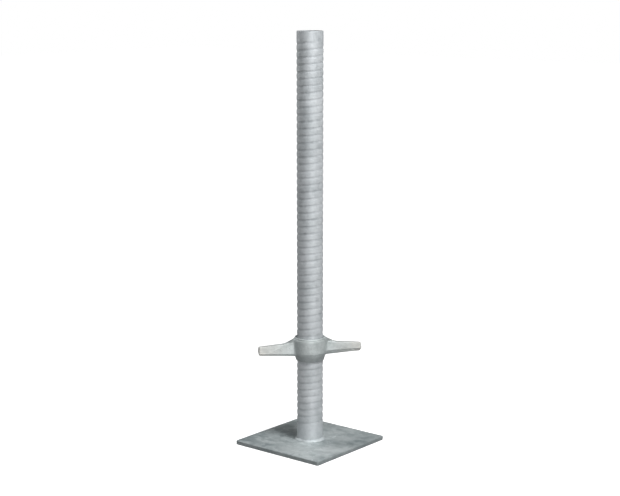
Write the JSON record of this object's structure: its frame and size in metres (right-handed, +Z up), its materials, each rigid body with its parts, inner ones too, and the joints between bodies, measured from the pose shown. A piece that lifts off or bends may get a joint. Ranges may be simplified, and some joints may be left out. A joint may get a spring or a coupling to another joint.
{
  "type": "adjustable base jack",
  "caption": "Adjustable scaffold base jack: threaded tubular spindle welded to a square base plate, with a two-armed wing nut that screws up and down it.",
  "frame": {"origin": "centre of the base plate's underside, on the spindle's axis", "axes": "+Z up along the spindle, +X and +Y square to the plate's sides"},
  "size_m": [0.155, 0.155, 0.6],
  "materials": {
    "galvanised_plate": "hot-dip galvanised, dull, mottled grey",
    "galvanised_tube": "galvanised, satin, crests rubbed bright",
    "galvanised_weld": "galvanised weld bead, satin, rippled",
    "galvanised_casting": "galvanised casting, dull, slightly rough"
  },
  "bodies": {
    "jack": {"base_plate": "galvanised_plate", "base_weld": "galvanised_weld", "spindle": "galvanised_tube"},
    "nut_carriage": {"seat_ring": "galvanised_casting"},
    "nut": {"wing_nut": "galvanised_casting"}
  },
  "joints": [
    {"name": "nut_travel", "type": "slide", "parent": "jack", "child": "nut_carriage", "axis": [0, 0, 1], "range_m": [-0.095, 0.42]},
    {"name": "nut_turn", "type": "hinge", "parent": "nut_carriage", "child": "nut", "pos_m": [0, 0, 0.142], "axis": [0, 0, 1], "range_deg": [-3420, 15120]}
  ],
  "couplings": [
    {"joint": "nut_travel", "follows": "nut_turn", "m_per_rad": 0.0015915}
  ]
}
